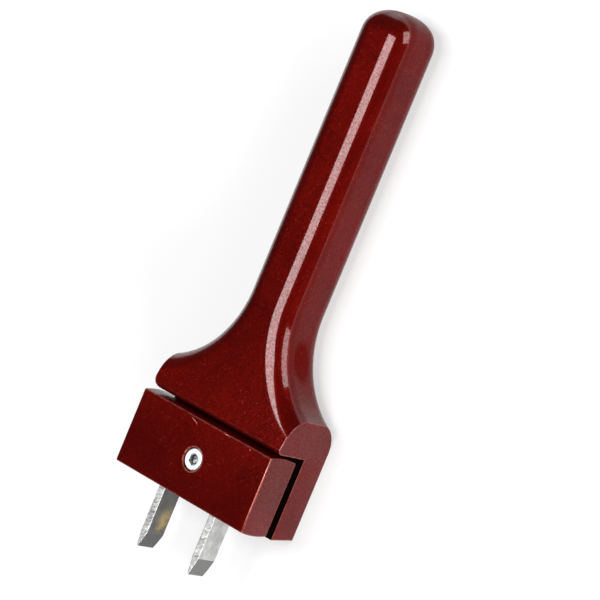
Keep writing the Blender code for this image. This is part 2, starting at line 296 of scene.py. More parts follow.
# %% Shape of the casting
GRIP_HALF = 12.4 * MM
GRIP_FRONT = 26.35 * MM
FRONT_RADIUS = 8.0 * MM
BACK_RADIUS = 9.6 * MM
FLARE_RADIUS = 40.0 * MM
FLARE_START = 67.5 * MM
FLARE_CENTRE = GRIP_HALF + FLARE_RADIUS
DOME_HEIGHT = 11.5 * MM
DOME_POWER = 2.3
REBATE_TOP = 17.1 * MM
JAW_DEPTH = 12.6 * MM
JAW_END_FRONT, JAW_END_BACK = -15.9 * MM, -14.6 * MM
END_EDGE = 0.45 * MM
NOSE_CORNER = 5.2 * MM
NOSE_ROUND = 1.3 * MM
NOSE_LEAN = 0.20
LEAN_START, LEAN_BLEND = 30.0 * MM, 3.0 * MM
PARTING_SWELL = 0.14 * MM


def front_height(along):
    """Height of the front face: level on the grip, leaning out over the nose.

    A softplus joins the level stretch to the leaning one without a crease.
    """
    below = (LEAN_START - along) / LEAN_BLEND
    return GRIP_FRONT + NOSE_LEAN * LEAN_BLEND * np.logaddexp(0, below)


def inside(x, along):
    """Distance of a point of the front view inside the outline's side.

    On the grip that is the distance to a straight side, in the flare to an arc.
    """
    down = np.maximum(FLARE_START - along, 0)
    return np.hypot(FLARE_CENTRE - x, down) - FLARE_RADIUS


def half_width(along):
    """Half the casting's width: the arc's edge, stopped softly at the machined head end.

    The soft stop is a softplus, which rounds the corner between the arc and the end.
    """
    down = np.clip(FLARE_START - along, 0, FLARE_RADIUS * 0.9999)
    arc = FLARE_CENTRE - np.sqrt(FLARE_RADIUS ** 2 - down ** 2)
    arc = np.where(FLARE_START - along < FLARE_RADIUS * 0.9, arc, 60 * MM)
    corner, widest = 0.20 * MM, HALF_HEAD - 0.01 * MM
    return widest - corner * np.logaddexp(0, (widest - arc) / corner)


def rounded_face(x, along, radius):
    """How far the rounded edge has fallen below the flat face: a quarter circle."""
    short = np.clip(radius - inside(x, along), 0, radius)
    return radius - np.sqrt(radius ** 2 - short ** 2)


print("front face:", [round(float(front_height(a * MM)) / MM, 1) for a in (20, 30, 90)], "mm high")


# %% Sections of the casting
def half_face(along, radius, count):
    """x and drop of one face from its side edge to the middle, at even shares of its length.

    The corner between the face and the side is softened by a small quadratic curve.
    """
    edge = float(half_width(along))
    share = 1 - np.cos(np.linspace(0, np.pi / 2, 600))
    x = edge * (1 - share)
    drop = rounded_face(x, along, radius)
    length = np.concatenate([[0], np.cumsum(np.hypot(np.diff(x), np.diff(drop)))])
    place = END_EDGE + (length[-1] - END_EDGE) * np.linspace(0, 1, count) ** 1.5
    face = np.stack([np.interp(place, length, x), np.interp(place, length, drop)], axis=1)
    corner = np.array([x[0], drop[0]])
    on_side = corner + [0, END_EDGE]
    t = np.linspace(0, 1, 6)[:-1, None]
    curve = (1 - t) ** 2 * on_side + 2 * t * (1 - t) * corner + t ** 2 * face[0]
    return np.concatenate([curve, face])


def casting_section(along, scale=1.0, columns=44):
    """One closed section, from the front's middle round the right side and back."""
    front = float(front_height(along))
    before = half_face(along, FRONT_RADIUS, columns)
    behind = half_face(along, BACK_RADIUS, columns)
    top = np.stack([before[:, 0], front - before[:, 1]], axis=1)[::-1]
    bottom = behind
    swell = PARTING_SWELL * min(1.0, (HALF_HEAD - top[-1, 0]) / (4 * MM))
    side_middle = [(top[-1] + bottom[0]) / 2 + [max(swell, 0), 0]]
    right = np.concatenate([top, side_middle, bottom])
    left = right[1:-1][::-1] * [-1, 1]
    ring = np.concatenate([right, left])
    middle = GRIP_FRONT / 2
    return np.stack([ring[:, 0] * scale, np.full(len(ring), along + SCREW_Y),
                     middle + (ring[:, 1] - middle) * scale], axis=1)


def casting_grid():
    """Rows from the jaw's drafted end to the top of the dome, close where the shape turns.

    The dome is a superellipse: its height and its scale are powers of a sine and a cosine.
    """
    jaw = casting_section(JAW_END_BACK)
    jaw[:, 1] = SCREW_Y + JAW_END_BACK + (JAW_END_FRONT - JAW_END_BACK) * jaw[:, 2] / JAW_DEPTH
    turn = np.linspace(math.asin((FLARE_START - 33.3 * MM) / FLARE_RADIUS), 0, 44)
    dome_foot = GRIP_TOP - DOME_HEIGHT
    stations = np.concatenate([
        np.linspace(-12.0, 15.5, 6) * MM, np.linspace(18.4, 30.6, 34) * MM,
        np.linspace(30.9, 33.0, 22) * MM, FLARE_START - FLARE_RADIUS * np.sin(turn),
        np.linspace(FLARE_START + 5 * MM, dome_foot, 12)])
    angle = np.linspace(0, np.pi / 2, 34)[1:-1]
    dome = [casting_section(dome_foot + DOME_HEIGHT * math.sin(a) ** (2 / DOME_POWER),
                            math.cos(a) ** (2 / DOME_POWER)) for a in angle]
    tip = casting_section(GRIP_TOP, 0.02)
    return np.array([jaw] + [casting_section(a) for a in stations] + dome + [tip])


casting_rows = casting_grid()
print("casting before it is cut:", casting_rows.shape[0], "sections of", casting_rows.shape[1])

# %% [markdown]
# ## Cutting the casting
# A cutter takes the rebate for the block out of the skin, as milling does on the real one. It
# has many stations along its length, because shading on one very long face shows as a streak.

# %% Cutting the casting
PIN_X = 25 * MM
SPRING_RADIUS = 5.0 * MM
CUTTER_FAR = 60 * MM


def corner_cutter():
    """What lies outside a quarter circle at the nose's left lower corner, above the jaw.

    The arc's centre is a little less than a radius inside the corner, so that the cut runs
    out through both faces and leaves no sliver.
    """
    turn = np.linspace(np.pi, 1.5 * np.pi, 40)
    inset = 0.98 * NOSE_CORNER
    centre = np.array([-HALF_HEAD, SCREW_Y + REBATE_TOP]) + inset
    arc = centre + NOSE_CORNER * np.stack([np.cos(turn), np.sin(turn)], axis=1)
    low = arc.min(axis=0) - 2 * MM
    outline = np.concatenate([arc, [[centre[0], low[1]], low, [low[0], centre[1]]]])
    heights = np.linspace(JAW_DEPTH + 0.3 * MM, CUTTER_FAR, 60)
    grid = np.stack([np.insert(outline, 2, z, axis=1) for z in heights])
    return add_piece("cutter", *skin(grid))


def rebate_cutter():
    """The open space in front of the jaw, with a round left on the nose's lower edge.

    The round's centre is one radius above the underside and one radius behind the leaning
    front; its arc runs from the underside to where it meets the front.
    """
    reach = math.hypot(1, NOSE_LEAN)
    lip = front_height(REBATE_TOP) - NOSE_ROUND * (NOSE_LEAN + reach) - 0.01 * MM
    turn = np.linspace(np.pi, math.atan2(1, NOSE_LEAN), 14)
    arc = np.stack([REBATE_TOP + NOSE_ROUND * (1 + np.cos(turn)),
                    lip + NOSE_ROUND * np.sin(turn)], axis=1)
    far, past_head = CUTTER_FAR, 36 * MM
    outline = np.concatenate([[[-far, JAW_DEPTH], [REBATE_TOP, JAW_DEPTH]], arc,
                              [[arc[-1, 0], far], [-far, far]]])
    stations = np.concatenate([[-far], np.linspace(-1, 1, 91) * past_head, [far]])
    grid = np.stack([np.insert(outline + [SCREW_Y, 0], 0, x, axis=1) for x in stations])
    return add_piece("cutter", *skin(grid))


def make_casting():
    """The casting's skin, cut by the rebate, rounded at its edges and then drilled."""
    piece = add_piece("handle_casting_shell", *skin(casting_rows))
    cut(piece, [rebate_cutter(), corner_cutter()])
    round_off(piece, 0.3 * MM, 3, 50)
    insert_radius, pin_radius, above = 3.8 * MM, 2.15 * MM, 16.3 * MM
    pocket = round_cutter([(SPRING_RADIUS, 10.6 * MM), (SPRING_RADIUS, above)])
    hole = round_cutter([(insert_radius, 2.0 * MM), (insert_radius, 12.6 * MM)])
    pins = [round_cutter([(pin_radius, 4.3 * MM), (pin_radius, above)], x=s * PIN_X)
            for s in (-1, 1)]
    cut(piece, [pocket, hole] + pins)
    smooth(piece, 35)
    return piece


casting = make_casting()
print("casting:", len(casting.data.polygons), "faces")

# %% [markdown]
# ## The clamp block
# The block is a bar whose top and bottom bulge a little, as on a casting with its parting line
# at mid depth. It is a loft along the head: one rounded profile, carried from end to end and
# drawn in at both ends for the small round on every corner.

# %% Clamp block
BLOCK_HALF = 15.0 * MM
BLOCK_CROWN = 0.7 * MM
BLOCK_BACK = block_low.z
ELECTRODE_X = 13.85 * MM
SLOT_HALF = 1.8 * MM
END_ROUND = 0.6 * MM
CORNER_DRAW, FACE_DRAW = 1.0 * MM, 0.45 * MM


def block_profile(shrink_along, shrink_depth, count=14):
    """Closed end profile (along, height): flat front and back, crowned top and bottom.

    A quarter circle rounds each corner; the shrinks pull all four faces in.
    """
    edge = 0.45 * MM
    top, depth = BLOCK_HALF - shrink_along, BLOCK_FRONT - BLOCK_BACK
    low, high = BLOCK_BACK + shrink_depth, BLOCK_FRONT - shrink_depth
    height = np.linspace(low + edge, high - edge, count)
    share = (height - BLOCK_BACK) / depth
    crown = top + BLOCK_CROWN * 4 * share * (1 - share)
    turn = np.linspace(0, np.pi / 2, 6)[1:]
    inwards, onwards = edge * (1 - np.cos(turn)), edge * (1 - np.sin(turn))
    end = np.stack([crown[-1] - inwards, high - onwards], 1)
    start = np.stack([crown[0] - inwards, low + onwards], 1)
    up = np.concatenate([start[::-1], np.stack([crown, height], 1), end])
    return np.concatenate([up, up[::-1] * [-1, 1]])


def block_grid():
    """Profiles along the head; near each end they draw in along a quarter ellipse."""
    turn = np.linspace(0, np.pi / 2, 7)
    rows = [(-HALF_HEAD + END_ROUND * (1 - math.cos(a)), 1 - math.sin(a)) for a in turn]
    rows += [(x, 0.0) for x in np.linspace(-1, 1, 13) * (HALF_HEAD - END_ROUND - 0.1 * MM)]
    rows += [(-x, draw) for x, draw in rows[len(turn) - 1::-1]]
    grid = [np.insert(block_profile(CORNER_DRAW * draw, FACE_DRAW * draw), 0, x, axis=1)
            for x, draw in rows]
    return np.array(grid) + [0, SCREW_Y, 0]


def make_block():
    """The block with its counterbore, screw bore, spring pocket, slots and pin bores."""
    piece = add_piece("clamp_block_shell", *skin(block_grid()))
    rim, wall, under = BLOCK_FRONT + 0.1 * MM, 4.62 * MM, BLOCK_BACK - MM
    bore_radius, pin_radius = 2.8 * MM, 2.1 * MM
    slot_end, slot_depth = SCREW_Y + 11.8 * MM, 24.8 * MM
    counterbore = round_cutter([(wall, 24.3 * MM), (wall, BLOCK_FRONT - 0.25 * MM),
                                (wall + 0.35 * MM, rim)])
    bore = round_cutter([(bore_radius, under), (bore_radius, 25 * MM)])
    pocket = round_cutter([(SPRING_RADIUS, under), (SPRING_RADIUS, BLOCK_BACK + 3 * MM)])
    slots = [box_cutter((s * ELECTRODE_X - SLOT_HALF, SCREW_Y - 30 * MM, under - MM),
                        (s * ELECTRODE_X + SLOT_HALF, slot_end, slot_depth))
             for s in (-1, 1)]
    pins = [round_cutter([(pin_radius, under), (pin_radius, 23.6 * MM)], x=s * PIN_X)
            for s in (-1, 1)]
    cut(piece, [counterbore, bore, pocket] + slots + pins)
    smooth(piece, 35)
    return piece


block = make_block()
print("block:", len(block.data.polygons), "faces")

# %% [markdown]
# ## The cap screw
# A turned piece with two surprises: its socket is a hexagon and its shank carries a thread.
# Both are the same grid of rings. In the socket a ring's radius follows a hexagon's edge, and
# on the shank it follows the thread's ridge, which moves on by one turn for each pitch.

# %% Clamp screw
SCREW_SIDES = 72
SCREW_SEAT = screw_high.z - 5.0 * MM
SHANK_RADIUS, SHANK_LENGTH = 2.5 * MM, 20.0 * MM
THREAD_PITCH, THREAD_DEPTH = 0.8 * MM, 0.45 * MM
SOCKET_FLATS = 4.0 * MM
AXIS_RADIUS = 0.02 * MM


def ring(radius, height):
    """One ring about the screw's axis; radius and height may vary round it."""
    turn = full_turn(SCREW_SIDES)
    radius = np.broadcast_to(radius, turn.shape)
    return np.stack([radius * np.cos(turn), SCREW_Y + radius * np.sin(turn),
                     np.broadcast_to(height, turn.shape)], axis=1)


def hexagon(across_flats, turn):
    """Radius of a hexagon round the turn: the flat's distance over the cosine off its middle."""
    off = (turn + np.pi / 6) % (np.pi / 3) - np.pi / 6
    return across_flats / 2 / np.cos(off)


def thread_rings():
    """The shank: a 60 degree ridge wound round it, running out at both ends."""
    turn = full_turn(SCREW_SIDES)
    rows = []
    for down in np.arange(0.5 * MM, 19.6 * MM, 0.08 * MM):
        phase = (down / THREAD_PITCH + turn / (2 * np.pi)) % 1
        ridge = np.clip(1.15 - 2.3 * np.abs(phase - 0.5), 0.05, 0.95)
        fade = min(1, (down - 0.5 * MM) / MM, (19.9 * MM - down) / (0.6 * MM))
        relief = 0.1 * MM * (fade < 1)
        rows.append(ring(SHANK_RADIUS - THREAD_DEPTH * (1 - ridge) * fade - relief,
                         SCREW_SEAT - down))
    return rows


def screw_grid():
    """Rings from the bottom of the socket out over the head and down the thread."""
    turn = full_turn(SCREW_SIDES)
    flats = hexagon(SOCKET_FLATS, turn)
    top, end = screw_high.z, SCREW_SEAT - SHANK_LENGTH
    socket = ((AXIS_RADIUS, 3.1), (1.6 * MM, 2.6), (flats * 0.985, 2.5), (flats, 2.42),
              (flats, 0.35), (flats + 0.03 * MM, 0.2),
              (np.maximum(flats, 2.22 * MM) + 0.05 * MM, 0.08), (2.45 * MM, 0.02), (2.6 * MM, 0))
    rows = [ring(radius, top - down * MM) for radius, down in socket]
    rows += [ring(r * MM, top) for r in (2.9, 3.3, 3.6)]
    for angle in np.linspace(0, np.pi / 2, 7):
        rows.append(ring((3.7 + 0.5 * math.sin(angle)) * MM,
                         top - 0.5 * MM * (1 - math.cos(angle))))
    rows += [ring(4.25 * MM, top - 0.75 * MM), ring(4.25 * MM, SCREW_SEAT + 0.3 * MM),
             ring(4.1 * MM, SCREW_SEAT + 0.05 * MM), ring(4.0 * MM, SCREW_SEAT),
             ring(2.7 * MM, SCREW_SEAT), ring(SHANK_RADIUS, SCREW_SEAT - 0.2 * MM)]
    rows += thread_rings()
    rows += [ring(1.7 * MM, end + 0.1 * MM), ring(1.5 * MM, end), ring(AXIS_RADIUS, end)]
    return np.array(rows)


screw = add_piece("clamp_screw_turned", *skin(screw_grid()))
smooth(screw, 32)
print("screw:", len(screw.data.polygons), "faces")

# %% [markdown]
# ## The electrodes
# Each electrode is a flat bar set on edge and ground from both sides to a chisel. It is a loft
# of rounded rectangles: the width shrinks in a straight line over the bevel, and fine waves on
# the narrow faces are what a shear leaves.

# %% Electrodes
EDGE_SAMPLES = 5
CHISEL_LAND = 0.3 * MM
SHEAR_WAVES = (2.3 * MM, 1.1 * MM, 0.47 * MM, 0.31 * MM, 0.19 * MM, 0.13 * MM)
SHEAR_DEPTH = 0.022 * MM
SHEAR_CREST = 2.5


def rounded_rectangle(width, depth, radius, along_width, along_depth):
    """Closed outline round the middle: straight sides with quarter circles at the corners."""
    turn = np.linspace(0, np.pi / 2, EDGE_SAMPLES)
    corner_x = np.array([1, -1, -1, 1]) * (width / 2 - radius)
    corner_z = np.array([1, 1, -1, -1]) * (depth / 2 - radius)
    angle = turn + np.arange(4)[:, None] * np.pi / 2
    arcs = np.stack([corner_x[:, None] + radius * np.cos(angle),
                     corner_z[:, None] + radius * np.sin(angle)], axis=-1)
    pieces = []
    for i, arc in enumerate(arcs):
        count = along_width if i % 2 == 0 else along_depth
        share = np.linspace(0, 1, count + 2)[1:-1, None]
        pieces += [arc, arc[-1] + (arcs[(i + 1) % 4][0] - arc[-1]) * share]
    return np.concatenate(pieces)


def electrode_grid(node, bevel, aside, back_wear, seed):
    """Sections from the chisel edge up to the bar's hidden end.

    The chisel edge lies aside from the bar's middle. The rear corner of the tip is worn back
    by back_wear, more and more towards the edge. The shear's waves are a sum of sines, each
    weaker than the one before, taken down from a crest so that they never add depth.
    """
    low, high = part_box(node)
    middle = (low + high) / 2
    width, depth = high.x - low.x, high.z - low.z
    length = high.y - low.y
    rise = np.concatenate([np.linspace(0, bevel, 26), np.linspace(bevel, length, 120)[1:]])
    rise[0] = 0.0
    random = np.random.default_rng(seed)
    phases = random.uniform(0, 2 * np.pi, len(SHEAR_WAVES))
    rows = []
    for up in rise:
        share = min(up / bevel, 1.0)
        across = CHISEL_LAND + (width - CHISEL_LAND) * share
        radius = min(0.16 * MM, across * 0.3)
        outline = rounded_rectangle(across, depth, radius, 4, 14)
        wave = sum(np.sin(up / length_of_wave + phase) / (i + 1) for i, (length_of_wave, phase)
                   in enumerate(zip(SHEAR_WAVES, phases)))
        grown = 1 + SHEAR_DEPTH * (wave - SHEAR_CREST) / (depth / 2)
        x = middle.x + outline[:, 0] - aside * (1 - share)
        z = middle.z + outline[:, 1] * np.minimum(grown, 1.0)
        behind = (high.z - z) / depth
        z = z + back_wear * behind * (1 - share) ** 2
        rows.append(np.stack([x, np.full(len(x), low.y + up), z], axis=1))
    return np.array(rows)


LEFT_BEVEL, RIGHT_BEVEL = 6.1 * MM, 7.2 * MM
electrodes = []
for node, *shape in (("electrode_left", LEFT_BEVEL, 0.6 * MM, 0.5 * MM, 3),
                     ("electrode_right", RIGHT_BEVEL, 0.4 * MM, 0.9 * MM, 8)):
    bar = add_piece(node + "_bar", *skin(electrode_grid(node, *shape)))
    smooth(bar, 40)
    electrodes.append(bar)
    print(node, [round(side / MM, 1) for side in bar.dimensions], "mm")

# %% [markdown]
# ## The opening spring
# A round wire carried along a helix. The two end turns lie close and the turns between share
# the rest of the height evenly.

# %% Opening spring
def spring_grid(node="opening_spring", turns=5.0, wire=0.8 * MM, sides=14, per_turn=48):
    """Rings of the wire's section, each square to the helix."""
    low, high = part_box(node)
    radius = (high.x - low.x) / 2 - wire / 2
    bottom, top = low.z + wire / 2, high.z - wire / 2
    turn = np.linspace(0, turns, int(turns * per_turn) + 1)
    closed = 1.15 * wire
    rise = (top - bottom - 2 * closed) / (turns - 2)
    height = np.where(turn < 1, bottom + closed * turn,
                      np.where(turn > turns - 1, top - closed * (turns - turn),
                               bottom + closed + rise * (turn - 1)))
    angle = 2 * np.pi * turn
    line = np.stack([radius * np.cos(angle), SCREW_Y + radius * np.sin(angle), height], 1)
    ahead = np.gradient(line, axis=0)
    ahead /= np.linalg.norm(ahead, axis=1)[:, None]
    out = np.stack([np.cos(angle), np.sin(angle), np.zeros_like(angle)], 1)
    up = np.cross(out, ahead)
    around = full_turn(sides)
    return (line[:, None] + wire / 2 * (np.cos(around)[None, :, None] * out[:, None]
                                        + np.sin(around)[None, :, None] * up[:, None]))


spring = add_piece("opening_spring_coil", *skin(spring_grid()))
smooth(spring, 50)
print("spring:", round(spring.dimensions.z / MM, 1), "mm high")

# %% [markdown]
# ## Node helpers
# A finish is a small tree of nodes. These helpers add a node, give its sockets their values
# or links, and open a node group with named sockets, so each tree below reads like a recipe.

# %% Node helpers
class Tree:
    """Adds nodes to one node tree, each with its settings, socket values and links."""

    def __init__(self, tree):
        self.tree = tree

    def add(self, kind, sockets=None, **settings):
        node = self.tree.nodes.new("ShaderNode" + kind)
        for name, value in settings.items():
            setattr(node, name, value)
        for name, value in (sockets or {}).items():
            self.feed(value, node.inputs[name])
        return node

    def feed(self, value, socket):
        """Link a socket, or set its value; a colour is given its alpha of 1 here."""
        if isinstance(value, bpy.types.NodeSocket):
            self.tree.links.new(value, socket)
        else:
            socket.default_value = (*value, 1) if socket.type == "RGBA" else value

    def math(self, operation, first, second=0.0, clamp=False):
        return self.add("Math", {0: first, 1: second}, operation=operation,
                        use_clamp=clamp).outputs[0]

    def times(self, first, second, clamp=False):
        return self.math("MULTIPLY", first, second, clamp)

    def plus(self, first, second, clamp=False):
        return self.math("ADD", first, second, clamp)

    def one_minus(self, value):
        return self.math("SUBTRACT", 1.0, value)

    def ramp(self, value, low, high):
        """A smooth rise from 0 at low to 1 at high."""
        return self.add("MapRange", {"Value": value, "From Min": low, "From Max": high},
                        interpolation_type="SMOOTHSTEP").outputs[0]

    def noise(self, vector, scale, detail=3.0, roughness=0.5):
        return self.add("TexNoise", {"Vector": vector, "Scale": scale, "Detail": detail,
                                     "Roughness": roughness}).outputs["Fac"]

    def mix(self, share, first, second):
        """A colour between two colours; a Mix node has its colours at sockets 6 and 7."""
        return self.add("Mix", {0: share, 6: first, 7: second}, data_type="RGBA").outputs[2]

    def mapped(self, vector, centre=(0, 0, 0), turn=(0, 0, 0), size=(1, 1, 1)):
        """Coordinates from a centre, turned, and divided by a size."""
        node = self.add("Mapping", {"Vector": vector, "Location": centre, "Rotation": turn,
                                    "Scale": size}, vector_type="TEXTURE")
        return node.outputs["Vector"]

    def vector(self, operation, first, second=(0, 0, 0)):
        return self.add("VectorMath", {0: first, 1: second}, operation=operation).outputs

    def length(self, vector):
        return self.vector("LENGTH", vector)["Value"]

    def split(self, vector):
        return self.add("SeparateXYZ", {0: vector}).outputs

    def use(self, group, place, **values):
        """Place a group, with the coordinates that it reads and its own values."""
        node = self.add("Group", node_tree=group)
        for name, value in {"Vector": place, **values}.items():
            self.feed(value, node.inputs[name])
        return node.outputs

    def bump(self, height, strength, distance, normal):
        """Feed a bump, with its relief's strength and depth, to a shader's Normal."""
        node = self.add("Bump", {"Strength": strength, "Distance": distance, "Height": height})
        self.feed(node.outputs[0], normal)


def new_group(name, values, outputs):
    """The tree, inputs and outputs of a node group that reads a Vector and some values.

    A value that is a tuple gets a vector socket, and so does an output called Normal.
    """
    group = bpy.data.node_groups.new(name, "ShaderNodeTree")
    kinds = {True: "NodeSocketVector", False: "NodeSocketFloat"}
    make = group.interface.new_socket
    make("Vector", in_out="INPUT", socket_type=kinds[True])
    for label, value in values.items():
        kind = kinds[isinstance(value, tuple)]
        make(label, in_out="INPUT", socket_type=kind).default_value = value
    for label in outputs:
        make(label, in_out="OUTPUT", socket_type=kinds[label == "Normal"])
    source = group.nodes.new("NodeGroupInput").outputs
    target = group.nodes.new("NodeGroupOutput").inputs
    return Tree(group), source, target


def new_finish(name, **constants):
    """A material: its tree, its Principled shader and the piece's object coordinates."""
    made = bpy.data.materials.new(name)
    made.use_nodes = True
    shader = made.node_tree.nodes["Principled BSDF"]
    for label, value in constants.items():
        shader.inputs[label.replace("_", " ")].default_value = value
    tree = Tree(made.node_tree)
    place = tree.add("TexCoord").outputs["Object"]
    return made, tree, shader.inputs, place


print("helpers:", [name for name in vars(Tree) if not name.startswith("_")])


# %% [markdown]
# ## Shared effects
# Five effects come back in several finishes, so each is one group. Edge wear compares the
# surface's normal with one that is smoothed round the edge. Flake gives every cell of a fine
# Voronoi pattern its own brightness and tilt. Grain is noise drawn out along one axis. Dust
# is sparse small specks. Stain is a slow, uneven cloud.

# %% Shared effect groups
def build_edge_wear():
    """Mask that is 1 on an edge: one minus the normal times the rounded normal."""
    t, given, out = new_group("edge_wear", {
        "Radius": 0.4 * MM, "Amount": 1.0, "Break-up": 900.0}, ["Mask"])
    rounded = t.add("Bevel", {"Radius": given["Radius"]}, samples=6).outputs["Normal"]
    true = t.add("NewGeometry").outputs["Normal"]
    facing = t.vector("DOT_PRODUCT", rounded, true)["Value"]
    edge = t.ramp(t.one_minus(facing), 0.004, 0.06)
    uneven = t.ramp(t.noise(given["Vector"], given["Break-up"]), 0.28, 0.52)
    t.feed(t.times(t.times(edge, uneven), given["Amount"], True), out["Mask"])
    return t.tree


def build_flake():
    """Flakes under the lacquer: a random brightness per cell, a few glints, tilted normals."""
    t, given, out = new_group("metal_flake", {
        "Cells": 3600.0, "Tilt": 0.3, "Glints": 0.04}, ["Shade", "Glint", "Normal"])
    cell = t.add("TexVoronoi", {"Vector": given["Vector"], "Scale": given["Cells"]})
    random = t.split(cell.outputs["Color"])
    t.feed(random[0], out["Shade"])
    rare = t.one_minus(given["Glints"])
    t.feed(t.math("GREATER_THAN", random[1], rare), out["Glint"])
    centred = t.vector("SUBTRACT", cell.outputs["Color"], (0.5, 0.5, 0.5))[0]
    leaning = t.add("VectorMath", {0: centred, "Scale": given["Tilt"]}, operation="SCALE")
    added = t.vector("ADD", leaning.outputs[0], t.add("NewGeometry").outputs["Normal"])[0]
    t.feed(t.vector("NORMALIZE", added)[0], out["Normal"])
    return t.tree


def build_grain():
    """Noise drawn out by an uneven scale, as a height and as a shade."""
    t, given, out = new_group("drawn_grain", {
        "Scale": (1, 1, 1), "Contrast": 1.0}, ["Height", "Shade"])
    drawn = t.vector("MULTIPLY", given["Vector"], given["Scale"])[0]
    fine = t.noise(drawn, 1.0, 5.0, 0.62)
    t.feed(fine, out["Height"])
    centred = t.times(t.math("SUBTRACT", fine, 0.5), given["Contrast"])
    t.feed(t.plus(centred, 0.5, True), out["Shade"])
    return t.tree


def build_dust():
    """Sparse round specks: small where a Voronoi cell's random number is high."""
    t, given, out = new_group("dust", {"Cells": 260.0, "Share": 0.15, "Size": 0.09}, ["Mask"])
    cell = t.add("TexVoronoi", {"Vector": given["Vector"], "Scale": given["Cells"]})
    random = t.split(cell.outputs["Color"])
    size = t.times(given["Size"], t.plus(random[2], 0.3))
    inside_speck = t.math("LESS_THAN", cell.outputs["Distance"], size)
    chosen = t.math("LESS_THAN", random[0], given["Share"])
    t.feed(t.times(inside_speck, chosen), out["Mask"])
    return t.tree


def build_stain():
    """A slow cloud with a finer one in it, between 0 and 1."""
    t, given, out = new_group("stain", {"Scale": 60.0, "Low": 0.4, "High": 0.6}, ["Mask"])
    cloud = t.noise(given["Vector"], given["Scale"], 6.0, 0.6)
    t.feed(t.ramp(cloud, given["Low"], given["High"]), out["Mask"])
    return t.tree


edge_wear, metal_flake, drawn_grain = build_edge_wear(), build_flake(), build_grain()
dust, stain = build_dust(), build_stain()
print("effects:", [g.name for g in bpy.data.node_groups])

# %% [markdown]
# ## Wine-red flake paint
# The paint is three layers. A metallic base coat carries fine flakes, each tilted its own way,
# so the strip of light on the edge breaks up into grains. A clear coat lies over it, smooth
# enough to keep the strip's sides straight, and a fine relief thins it in places. Hands have
# dulled the coat on the upright sides, most of all on the grip and where thumb and finger
# rub the flare. The edges are a paler red, partly from wear and partly as painted highlight on
# the small rounds. The two faces that clamp against each other are painted near black without
# coat, as painted shade in the gap between them. The block also has scratches, a chip and a
# pale line down its right edge, which is a painted highlight. Each such mark is an ellipse: the
# coordinates are centred on it, turned along it and divided by its half lengths.

# %% Wine-red flake paint
WINE_DEEP = (0.050, 0.0006, 0.0003)
WINE_LIGHT = (0.112, 0.0020, 0.0008)
# Paler red of worn edges, also used as painted highlight on the small edge rounds.
WINE_WEAR_AND_EDGE_HIGHLIGHT = (0.52, 0.16, 0.12)
FLAKE_BRIGHT = (0.42, 0.040, 0.026)
SPECK_PALE = (0.36, 0.13, 0.10)
# Near black for the two faces that meet across the gap: painted shade in the gap.
GAP_PAINTED_SHADE = (0.010, 0.003, 0.002)
HELD_FROM = (-42.0 * MM, -32.0 * MM)
HELD_LEAST, HELD_MORE, RUBBED_MORE = 0.3, 0.35, 0.5
RUBBED_AT = (0, -22.3 * MM, 14.0 * MM)
RUBBED_SIZE = (1.0, 8.0 * MM, 5.5 * MM)
UPRIGHT = (0.31, 0.47)
COAT_THIN, COAT_RELIEF = 0.47, 0.55
SMOOTHEST, LESS_SMOOTH = 0.27, 0.08
CLAMPED_REACH = 0.6 * MM


def mark_mask(t, place, x, y, length, width, degrees):
    """1 inside a ragged ellipse on the front face, 0 outside it."""
    local = t.mapped(place, (x * MM, y * MM, BLOCK_FRONT), (0, 0, math.radians(degrees)),
                     (length / 2 * MM, width / 2 * MM, MM))
    ragged = t.times(t.noise(place, 5200.0, 3.0), 0.9)
    return t.math("LESS_THAN", t.plus(t.length(local), ragged), 1.25)


def gloss_left(t, place, facing):
    """Share of the clear coat that hands have left on the upright sides.

    The loss grows along the grip and is greatest in an ellipse on each side of the flare.
    """
    upright = t.one_minus(t.ramp(t.math("ABSOLUTE", facing[2]), *UPRIGHT))
    held = t.plus(t.times(t.ramp(t.split(place)[1], *HELD_FROM), HELD_MORE), HELD_LEAST)
    from_rubbed = t.length(t.mapped(place, RUBBED_AT, (0, 0, 0), RUBBED_SIZE))
    rubbed = t.one_minus(t.ramp(from_rubbed, 0.4, 1.2))
    lost = t.plus(held, t.times(rubbed, RUBBED_MORE), True)
    return t.one_minus(t.times(upright, lost))


def clamped_face(t, place, facing, height, side):
    """1 on the level face at a height that faces up (side 1) or down (side -1)."""
    off = t.math("ABSOLUTE", t.math("SUBTRACT", t.split(place)[2], height))
    level = t.math("GREATER_THAN", t.times(facing[2], side), 0.8)
    return t.times(t.math("LESS_THAN", off, CLAMPED_REACH), level)


